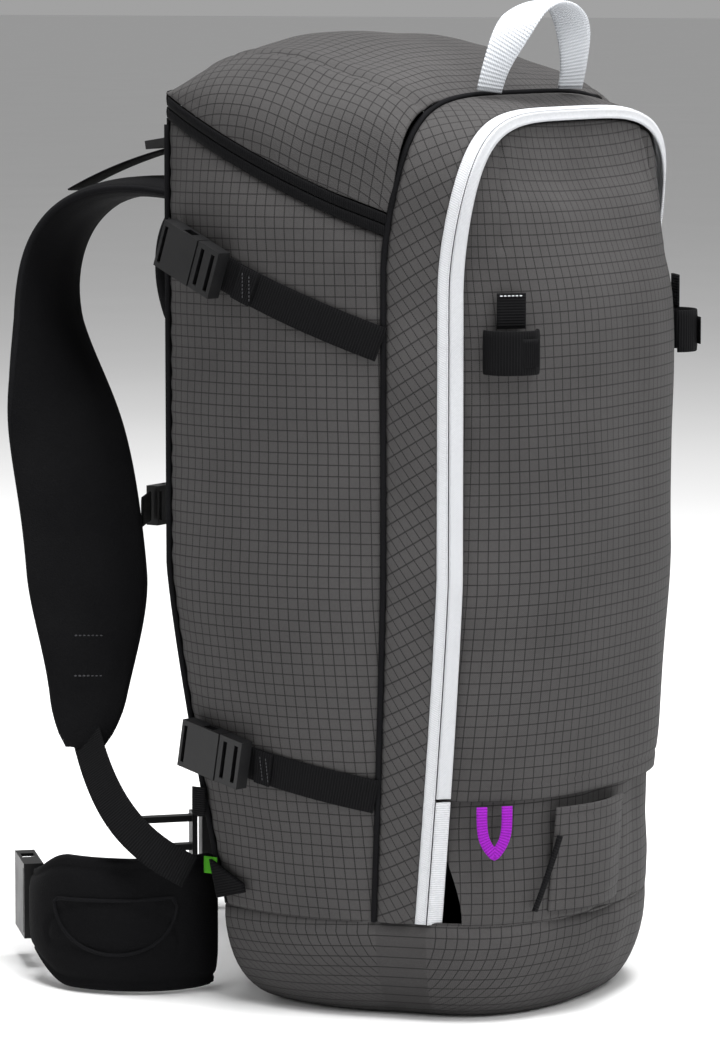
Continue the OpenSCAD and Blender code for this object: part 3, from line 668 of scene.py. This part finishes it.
def make_bag():
    s_end = 1 - (CLOTH + 0.4) / (BACK_Y - SEAM_Y)

    def wall(u, v):
        s = mix(0.006, s_end, 1 - u)
        return wall_point(s, mix(BASE_Z + 0.6, rim_z(s) - TAPE - 0.2, v))

    for word, side in SIDES:
        cloth(f"side_cloth_{word}", wall, 70, 190, "pack", "ripstop", side_relief, side=side,
              replaces=[f"side_panel_{word}"])

    def ring_of(low, high):
        def f(u, v):
            inner, outer = zip_curve(u), seam_curve(u)
            w = np.linalg.norm(inner - outer)
            return mix(outer, inner, mix(low(w), high(w), 1 - v))
        return f

    gusset = ring_of(lambda w: 0.8 / w, lambda w: 1 - (TAPE + 0.3) / w)
    cloth("gusset_cloth", gusset, 380, 14, "pack", "ripstop_bias", gusset_relief, replaces=["gusset"])
    tape = ring_of(lambda w: 1 - (TAPE + 0.1) / w, lambda w: 1 - 0.3 / w)
    cloth("zip_tape_bag", tape, 380, 4, "pack", "zip_white", tape_bow, replaces=["gusset_zip_tape"])

    steps = 14
    angles = [90 * i / steps for i in range(steps + 1)]
    edge = outline(BASE_Z)

    def pleat(x, z):
        """Soft upright folds that fan out over the base below the pocket."""
        wave = 0.8 * math.sin(x / 6.5 + 1.4 * lump(x, 0, z, 60))
        return wave * smooth((x + 70) / 50) * smooth((60 - x) / 40)

    def base_ring(angle, inset):
        spread = mix(0.74, 1, math.sin(math.radians(angle))) - inset / 120
        c = math.cos(math.radians(angle))
        z = BASE_Z * (1 - c) + inset * c
        dent = 0.5 * math.sin(math.radians(2 * angle))
        ring = []
        for p in edge:
            lift = 1 + dent * (0.006 + 0.012 * lump(p[0], p[1], z, 34, 6.6))
            fan = pleat(p[0], z) / 120 * smooth(angle / 50) * smooth((-60 - p[1]) / 20)
            lift += fan - 0.0025 * bell(90 - angle, 5)
            ring.append((p[0] * spread * lift, (p[1] + 15) * spread * lift - 15, z))
        return ring

    rings = [base_ring(a, 0) for a in angles] + [base_ring(a, CLOTH) for a in angles[::-1]]
    points = np.array(rings).reshape(-1, 3)
    girth = running(np.array(rings), 1).reshape(-1)
    rise = running(np.array(rings), 0, False).reshape(-1)
    build("base_cloth", points, tube_faces(2 * steps + 2, len(edge)), np.stack([girth, rise], 1),
          "pack", "ripstop", ["base_panel"])

    def back(u, v):
        z = mix(BASE_Z + 0.6, RIM_BACK - TAPE - 0.2, v)
        return vec(mix(1, -1, u) * (back_x(z) - 0.5), back_y(z), z)

    cloth("back_cloth", back, 30, 60, "pack", "pad_fabric", replaces=["back_panel"])

    def wall_between(u, v):
        s = math.sin(math.radians(90 * (2 * u - 1)))
        roof = max(0.0, 1 - abs(s) ** CORNER) ** (1 / CORNER)
        z = mix(BASE_Z, SEAM_LEG + (SEAM_TOP - SEAM_LEG - 5) * roof, v)
        return vec(s * (seam_x(z) - 4), seam_y(z) + 3, z)

    cloth("divider_cloth", wall_between, 40, 60, "pack", "lining",
          lambda u, v, p: 0.8 * lump(p[0], 0, p[2], 45) * smooth(8 * min(u, 1 - u, v, 1 - v)),
          thick=1.0, replaces=["divider"])

    def low(u, v):
        z = mix(BASE_Z + 0.6, HEM_Z + 14, v)
        p = front_band(2 * u - 1, z, TAPE + 1.4)
        return mix(front_at(p[0], z), p + vec(0, 4.4, 0), smooth(1.2 * v))

    def low_relief(u, v, p):
        """Lumps and pleats that die out at the side seams."""
        rough = lump(p[0], 0, p[2], 30, 8.0) * 0.9 * smooth(4 * v) + pleat(p[0], p[2])
        return rough * smooth(9 * min(u, 1 - u)) + tuck(v * 80, 0.3)

    cloth("front_lower_cloth", low, 110, 40, "pack", "ripstop", low_relief, replaces=["front_lower_panel"])

    for word, a, b in (("left", 0.0, HEM_SHARE - 0.002), ("right", 1.002 - HEM_SHARE, 1.0)):
        cloth(f"zip_tape_low_{word}", lambda u, v: flap_tape(mix(a, b, u), v), 30, 4, "pack", "zip_white",
              tape_bow)
    coil = sampled(lambda t: zip_curve(t) + vec(0, 0.5, 0), 420)
    tube("zip_coil_bag", coil, 0.55, "pack", "zip_white", k=8)
    piping = sampled(lambda t: seam_curve(t) + vec(0, 1.0, 0), 300)
    tube("seam_piping", piping, 1.7, "pack", "piping", k=10)
    base_seam = [(*p, BASE_Z + 0.3) for p in outline(BASE_Z)]
    tube("base_piping", [vec(*p) * (0.987, 0.987, 1) for p in base_seam], 1.3, "pack", "ripstop", closed=True)
    for word, side in SIDES:
        line = sampled(lambda t: side_point(0.996, mix(BASE_Z + 6, RIM_BACK - TAPE - 4, t)), 80)
        tube(f"back_piping_{word}", line, 1.6, "pack", "piping", side=side)


def flap_tape(t, v):
    p = zip_curve(t)
    x, z = u_turn(ZIP_LEG, ZIP_TOP - TAPE, t)
    inner = vec(x * (zip_x(z) - TAPE), mix(zip_y(z), front_y(z), 0.12), z)
    return mix(p, inner, mix(0.06, 0.94, v))


def make_flap():
    panel = lambda u, v: front_point(2 * u - 1, v, HEM_Z, TAPE + 0.4)
    cloth("flap_cloth", panel, 190, 170, "front_flap", "ripstop", flap_relief, replaces=["front_upper_panel"])
    tape = lambda u, v: flap_tape(mix(HEM_SHARE, 1 - HEM_SHARE, u), v)
    cloth("zip_tape_flap", tape, 360, 4, "front_flap", "zip_white", tape_bow, replaces=["flap_zip_tape"])
    for word, side in SIDES:
        a, b = front_band(-0.77, KEEPER_Z, TAPE), front_band(-0.52, KEEPER_Z, TAPE)
        out = -unit(vec(a[1] - b[1], b[0] - a[0], 0))
        ends = [a + out * 1.6, a + out * 21, b + out * 21, b + out * 1.6]
        ribbon(f"keeper_band_{word}", lambda t: bezier(ends, t), lambda t: (0, 0, 1), KEEPER_W, 1.8, 40,
               "front_flap", "webbing_black", side=side, replaces=[f"tool_keeper_{word}"])
        tab = front_band(-0.64, KEEPER_Z + 21, TAPE) + out * 2.2
        ribbon(f"keeper_tab_{word}", lambda t: tab + vec(0, 0, mix(-8, 12, t)), lambda t: b - a, 17, 2, 8,
               "front_flap", "webbing_black", side=side)
        line = [tab + out * 1.2 + unit(b - a) * x + vec(0, 0, 10.5) for x in np.linspace(-7.5, 7.5, 20)]
        dashes(f"keeper_tack_{word}_0", line, 1.6, 0.7, "front_flap", "stitch", side)
        tag = bezier(ends, 0.62) + out * 1.2
        ribbon(f"keeper_tag_{word}", lambda t: tag + vec(0, 0, mix(-8, 8, t)), lambda t: b - a, 13, 0.8, 6,
               "front_flap", "zip_black", side=side)


# ---- Lid ----


def tape_point(s, lift):
    return wall_point(s, rim_z(s)) + vec(0, 0, lift)


def lid_surface(a, j):
    """Lid whose front edge meets the leaning seam."""
    p = lid_point(a, j)
    gap = seam_y(p[2]) + 1.0 - lid_point(a, 0)[1]
    return p + vec(0, gap * (1 - smooth(j / 0.22)), 0)


def lid_back_z(x):
    """Height of the lid's rear edge, which the zip tape reaches."""
    return RIM_BACK + TAPE + 1.2 + 3.4 * (1 - abs(x / 135) ** 2.7) ** (1 / 2.7)


def make_lid():
    cloth("lid_cloth", lid_surface, 190, 90, "lid", "ripstop", lid_relief, replaces=["lid_panel"])
    for body, name, node, low, high in (
        ("pack", "lid_tape_bag", "body_zip_tape", -TAPE, -0.3),
        ("lid", "lid_tape_lid", "lid_zip_tape", 0.3, TAPE - 0.2),
    ):
        bow = lambda u, v, p: 0.6 * math.sin(math.pi * v)
        for word, side in SIDES:
            strip = lambda u, v: tape_point(mix(0.985, 0.006, u), mix(low, high, v))
            cloth(f"{name}_{word}", strip, 90, 4, body, "zip_black", bow, side=side,
                  replaces=[node] if side < 0 else [])

        def rear_strip(u, v):
            x = mix(134, -134, u)
            top = lid_back_z(x) if body == "lid" else RIM_BACK + high
            return vec(x, BACK_Y, mix(RIM_BACK + low, top, v))

        cloth(f"{name}_back", rear_strip, 60, 4, body, "zip_black", bow)


def make_handle():
    def path(t):
        p = bezier([(-47, 0, 0), (-45, 69.7, 0), (45, 69.7, 0), (47, 0, 0)], t)
        lean = math.radians(-14)
        return vec(p[0], -58 + p[1] * math.sin(lean), 532.5 + p[1] * math.cos(lean))

    def twist(t):
        q = math.radians(mix(15, 90, smooth(1 - abs(2 * t - 1))))
        return math.cos(q), -math.sin(q), 0

    ribbon("handle_webbing", path, twist, 20, 2.2, 70, "handle", "webbing_white", replaces=["grab_handle"])


# ---- Lower front ----


def make_lower_front():
    h = math.degrees(math.asin(-95 / zip_x(HEM_Z))) / 90
    ahead = front_band(h + 0.01, HEM_Z) - front_band(h - 0.01, HEM_Z)
    along = unit(vec(ahead[0], ahead[1], 0))
    out = vec(along[1], -along[0], 0)
    top = front_band(h, HEM_Z) + out * 1.6 - vec(0, 0, 1.8)

    def loop(t):
        q = math.pi * clamp(t)
        drop = 24 * math.sqrt(abs(math.sin(q))) + 4 * (1 - abs(math.cos(q))) ** 2
        return top - along * 7.4 * math.cos(q) - vec(0, 0, drop)

    flat = lambda t: np.cross(out, loop(t + 0.01) - loop(t - 0.01))
    ribbon("axe_webbing", loop, flat, 6.2, 1.8, 72, "axe_loop", "webbing_purple", replaces=["axe_loop"])

    def patch(u, v):
        x, z = mix(-60, 5, u), mix(64, HEM_Z - 6, v)
        return vec(x, front_at(x, z)[1] - 1.5 - 7 * math.sin(math.pi * u) * (1 - 0.4 * v), z)

    cloth("pocket_cloth", patch, 40, 40, "pack", "ripstop",
          lambda u, v, p: 0.6 * lump(p[0], 0, p[2], 16, 3.0) - 0.5 * bell(min(u, v, 1 - v) * 50 - 5, 1.2),
          replaces=["pick_pocket"])
    strap = lambda t: front_at(mix(-60, -72, t), mix(HEM_Z - 22, 66, t)) - vec(0, 5, 0)
    ribbon("pocket_toggle_strap", strap, lambda t: (1, 0, 0), 5, 2, 24, "pack", "webbing_black",
           replaces=["pocket_toggle"])


# ---- Compression straps ----


def make_side_straps():
    for word, side in SIDES:
        for level, ends in (("upper", UPPER), ("lower", LOWER)):
            parts = (("front", 0.012, MOUTH - 0.03, 36), ("back", MOUTH + 0.2, 0.985, 8))
            for end, a, b, steps in parts:
                path = lambda t: web_point(ends, mix(a, b, t), 1.8)
                up = lambda t: web_up(ends, mix(a, b, t))
                stands_for = [f"side_webs_{word}"] if (level, end) == ("upper", "front") else []
                ribbon(f"side_web_{level}_{end}_{word}", path, up, WEB_W, WEB_T, steps, "pack",
                       "webbing_black", side=side, replaces=stands_for)
            path = lambda t: web_point(ends, mix(0.5, MOUTH - 0.16, t), 4.1)
            up = lambda t: web_up(ends, mix(0.5, MOUTH - 0.16, t))
            body = f"plug_{level}_{word}"
            ribbon(f"web_tail_{level}_{word}", path, up, WEB_W, WEB_T, 12, body, "webbing_black", side=side,
                   replaces=[f"tail_{level}_{word}"])
            for k, s in enumerate((0.515, 0.545)):
                rise = unit(web_up(ends, s))
                line = [web_point(ends, s, 5.0) + rise * z for z in np.linspace(-7.5, 7.5, 12)]
                dashes(f"tail_tack_{level}_{word}_{k}", line, 1.5, 0.6, body, "stitch_dark", side)


# ---- Back and harness ----

PAD_TOP = [(-64, 124, 470), (-64, 190, 484), (-66, 246, 464), (-76, 232, 392)]
PAD_FALL = [(-76, 232, 392), (-85, 218, 328), (-104, 172, 262), (-118, 178, 142)]
LIFTER = [(-64, 122, 502), (-64, 150, 497), (-65, 182, 489), (-67, 217, 471)]
LOWER_WEB = [(-117, 178, 152), (-146, 144, 112), (-154, 118, 96), (-132, 93, 78)]
WING = [(-91, 107, 42), (-132, 104, 42), (-162, 172, 42), (-124, 208, 42)]


def pad_path(t):
    return bezier(PAD_TOP, t / 0.4) if t < 0.4 else bezier(PAD_FALL, (t - 0.4) / 0.6)


def pad_wide(t):
    q = math.radians(58 * smooth((t - 0.35) / 0.4))
    return vec(math.cos(q), -math.sin(q), 0)


def pad_width(t):
    neck = mix(0.84, 1, smooth((t - 0.3) / 0.3)) * PAD_W
    taper = 1 - 0.45 * smooth((t - 0.8) / 0.2)
    tip = 1 - 0.45 * clamp((t - 0.95) / 0.05) ** 2
    return neck * taper * tip


def pad_relief(t, x, y):
    """Crown in the middle and a sewn channel inside the bound edge."""
    face = 1 if y > 0 else -1
    groove = 0.9 * bell((abs(x) - 0.84), 0.05) + 0.6 * smooth((abs(x) - 0.3) / 0.5)
    soft = 0.35 * lump(60 * x, 0, 420 * t, 30, 5.0) * (1 - abs(x))
    return face * (soft - groove) if abs(x) < 0.97 else 0.0


def edge_loop(path, wide, width, n=90, inset=1.0):
    """Line round the edge of a pad."""
    left = [path(t) + unit(wide(t)) * (width(t) / 2 - inset) for t in np.linspace(0.004, 0.996, n)]
    right = [path(t) - unit(wide(t)) * (width(t) / 2 - inset) for t in np.linspace(0.996, 0.004, n)]
    return left + right


def make_harness():
    for word, side in SIDES:
        body = f"harness_{word}"
        pad = ribbon(f"shoulder_strap_{word}", pad_path, pad_wide, pad_width, PAD_T, 110, body, "pad_fabric",
                     k=40, power=3.2, relief=pad_relief, side=side, replaces=[f"shoulder_pad_{word}"])
        tube(f"shoulder_binding_{word}", edge_loop(pad_path, pad_wide, pad_width), 2.1, body, "piping", side,
             closed=True)
        for k, t in enumerate((0.88, 0.925)):
            ahead = unit(pad_path(t + 0.01) - pad_path(t - 0.01))
            out = unit(np.cross(ahead, pad_wide(t))) * (PAD_T / 2 - 0.3)
            for face in (-1, 1):
                line = [pad_path(t) + pad_wide(t) * x + out * face for x in np.linspace(-9, 9, 14)]
                dashes(f"strap_tack_{word}_{k}_{face + 1}", line, 1.8, 0.7, body, "stitch_dark", side, 0.6)
        ribbon(f"lifter_webbing_{word}", lambda t: bezier(LIFTER, t), lambda t: (1, 0, 0), WEB_W, WEB_T, 24,
               body, "webbing_black", side=side, replaces=[f"lifter_web_{word}"])
        ribbon(f"lower_webbing_{word}", lambda t: bezier(LOWER_WEB, t), lambda t: (0.45, -0.3, 0.85), WEB_W,
               WEB_T, 30, body, "webbing_black", side=side, replaces=[f"lower_web_{word}"])
        t = 0.72
        a = pad_path(t) + pad_wide(t) * (pad_width(t) / 2 + 2)
        path = lambda t: mix(a, vec(-48, a[1] + 14, a[2]), t)
        ribbon(f"sternum_webbing_{word}", path, lambda t: (0, 0, 1), 18, WEB_T, 10, body, "webbing_black",
               side=side, replaces=[f"sternum_web_{word}"])


def make_back():
    def pad(u, v):
        z = mix(118, 504, v)
        y = back_y(z) + 13.6 - 1.4 * abs(2 * u - 1) ** 4
        return vec(mix(1, -1, u) * (back_x(z) - 14), y, z)

    def channels(u, v, p):
        x = abs(2 * u - 1)
        edge = min(min(u, 1 - u) * 240, min(v, 1 - v) * 386)
        spine = -3.0 * bell(x, 0.13)
        rows = -1.8 * bell(((v * 5) % 1 - 0.5) * 77, 4) * smooth((x - 0.12) / 0.1)
        return spine + rows - 7.0 * (1 - smooth(edge / 16)) ** 2

    piece = cloth("back_padding", pad, 90, 150, "pack", "pad_mesh", channels, thick=9.5,
                  replaces=["back_pad"])

    def lumbar(u, v):
        z = mix(14, 110, v)
        x = mix(1, -1, u) * 86
        return vec(x, 98 - 5 * abs(2 * u - 1) ** 5, z)

    def cushion(u, v, p):
        edge = min(min(u, 1 - u) * 172, min(v, 1 - v) * 96)
        return 1.5 - 9.0 * (1 - smooth(edge / 18)) ** 2 - 1.4 * bell(edge - 24, 2.2)

    piece = cloth("lumbar_cushion", lumbar, 90, 60, "pack", "pad_mesh", cushion, thick=14,
                  replaces=["lumbar_pad"])

    def yoke(u, v):
        return vec(mix(25.5, -25.5, u), BACK_Y + 16.0 - 0.8 * abs(2 * u - 1) ** 6, mix(440.5, 501.5, v))

    cloth("yoke_cloth", yoke, 24, 30, "pack", "webbing_black", thick=1.8, replaces=["harness_yoke"])
    for word, side in SIDES:
        def wedge(u, v):
            foot = mix(side_point(0.76, 70), side_point(1, 63), u)
            head = mix(side_point(0.76, 75), side_point(1, 86), u)
            return mix(foot, head, v) - vec(4.4, 0, 0)

        cloth(f"anchor_cloth_{word}", wedge, 16, 10, "pack", "webbing_black", thick=2.0, side=side,
              replaces=["strap_anchors"] if side < 0 else [])
        for kind, z, paint, size in (("size", 120, "zip_black", 17), ("care", 82, "label_green", 10)):
            foot = side_point(0.97, z) + vec(-3.6, 0, 0)
            ribbon(f"label_{kind}_{word}", lambda t: foot + vec(0, 9 * t, 0), lambda t: (0, 0, 1), size, 0.8, 4,
                   "pack", paint, side=side)


def make_belt():
    height = lambda t: BELT_H * (1 - 0.35 * smooth((t - 0.72) / 0.28))
    up = lambda t: vec(0, 0, 1)

    def relief(t, x, y):
        face = 1 if y > 0 else -1
        moon = math.hypot((t - 0.52) / 0.30, (x + 0.25) / 0.62)
        rim = -1.3 * bell(moon - 1, 0.045) if x > -0.34 else 0.0
        rim -= 1.1 * bell(x + 0.36, 0.035) if abs(t - 0.52) < 0.3 else 0.0
        edge = -1.5 * bell(abs(x) - 0.86, 0.04) - 0.5 * smooth((abs(x) - 0.5) / 0.4)
        return face * (rim + edge) if abs(x) < 0.97 else 0.0

    def on_wing(t, x):
        """Point on the outer face of the wing, x from -1 at its lower edge to 1 at its upper."""
        ahead = unit(bezier(WING, t + 0.01) - bezier(WING, t - 0.01))
        thick = PAD_T / 2 * (1 - abs(x) ** 3.2) ** (1 / 3.2)
        return bezier(WING, t) + vec(0, 0, x * height(t) / 2) - np.cross(ahead, vec(0, 0, 1)) * thick

    def moon_line():
        turn = np.linspace(0.04, math.pi - 0.04, 50)
        arc = [on_wing(0.5 + 0.27 * math.cos(q), 0.34 - 0.78 * math.sin(q)) for q in turn]
        return arc + [on_wing(mix(0.24, 0.76, k), mix(0.44, 0.36, k)) for k in np.linspace(0.02, 0.98, 30)]

    for word, side in SIDES:
        body = f"hip_belt_{word}"
        pad = ribbon(f"hip_wing_{word}", lambda t: bezier(WING, t), up, height, PAD_T, 90, body, "pad_fabric",
                     k=72, power=3.2, relief=relief, side=side, replaces=[f"hip_pad_{word}"])
        line = edge_loop(lambda t: bezier(WING, t), up, height, 80)
        tube(f"hip_binding_{word}", line, 2.0, body, "piping", side, closed=True)
        tube(f"hip_moon_{word}", moon_line(), 1.2, body, "piping", side, closed=True)
        run = unit(vec(*WING[3]) - vec(*WING[2]))
        ribbon(f"hip_webbing_{word}", lambda t: vec(*WING[3]) + run * mix(1.5, 22, t), up, 38, 2, 10, body,
               "webbing_black", side=side, replaces=[f"hip_web_{word}"])


# ---- Moulded parts that keep their CAD shape ----

KEPT = {
    "buckle_plastic": ["sockets_left", "sockets_right", "plug_upper_left", "plug_upper_right",
                       "plug_lower_left", "plug_lower_right", "lifter_lock_left", "lifter_lock_right",
                       "sternum_socket", "sternum_plug", "hip_socket", "hip_plug"],
    "aluminium": ["frame_stay", "lid_zip_slider", "front_zip_slider"],
    "frame_plastic": ["frame_sheet"],
}


def finish_kept():
    for paint, names in KEPT.items():
        for name in names:
            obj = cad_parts[name]
            obj.data.materials.clear()
            obj.data.materials.append(PAINT[paint])
            bevel = obj.modifiers.new("soft_edges", "BEVEL")
            bevel.width = 0.0009
            bevel.segments = 3
            bevel.limit_method = "ANGLE"
            bevel.use_clamp_overlap = True
            bevel.harden_normals = False


# ---- Stage ----


def look_at(obj, target):
    obj.rotation_euler = (Vector(target) - obj.location).to_track_quat("-Z", "Y").to_euler()


def make_stage():
    reach = 60.0
    mesh = bpy.data.meshes.new("floor")
    corners = [(-reach, -reach, 0), (reach, -reach, 0), (reach, reach, 0), (-reach, reach, 0)]
    mesh.from_pydata(corners, [], [(0, 1, 2, 3)])
    floor = bpy.data.objects.new("floor", mesh)
    bpy.context.scene.collection.objects.link(floor)
    paper = Paint("studio_paper", rough=0.9)
    mesh.materials.append(paper.finish(paper.tint(paper.noise(3, 2), (0.84, 0.84, 0.84), (0.88, 0.88, 0.88)),
                                       paper.noise(60, 2), 0.0002))

    lights = (("key", (-1.2, -2.4, 2.6), 1.6, 44), ("left", (-3.0, 1.0, 1.4), 1.4, 8),
              ("right", (1.8, -3.0, 1.4), 1.2, 16), ("top", (-0.2, -0.3, 3.0), 1.8, 165),
              ("back", (1.2, 3.0, 1.6), 1.6, 16))
    for name, place, width, power in lights:
        data = bpy.data.lights.new(name, "AREA")
        data.shape, data.size, data.energy = "DISK", width, power
        lamp = bpy.data.objects.new(name, data)
        bpy.context.scene.collection.objects.link(lamp)
        lamp.location = place
        look_at(lamp, (0, 0, 0.28))
    world = bpy.data.worlds.new("studio")
    world.use_nodes = True
    world.node_tree.nodes["Background"].inputs["Color"].default_value = (1, 1, 1, 1)
    world.node_tree.nodes["Background"].inputs["Strength"].default_value = 0.36
    bpy.context.scene.world = world
    bpy.context.scene.view_settings.view_transform = "Standard"

    data = bpy.data.cameras.new("camera")
    data.sensor_fit, data.sensor_width, data.lens = "AUTO", 24, 103.25
    camera = bpy.data.objects.new("camera", data)
    bpy.context.scene.collection.objects.link(camera)
    camera.location = (-2.273, -1.363, 0.596)
    look_at(camera, (-0.026, 0.042, 0.276))
    bpy.context.scene.camera = camera


make_stage()
make_bag()
make_flap()
make_lid()
make_handle()
make_lower_front()
make_side_straps()
make_harness()
make_back()
make_belt()
finish_kept()
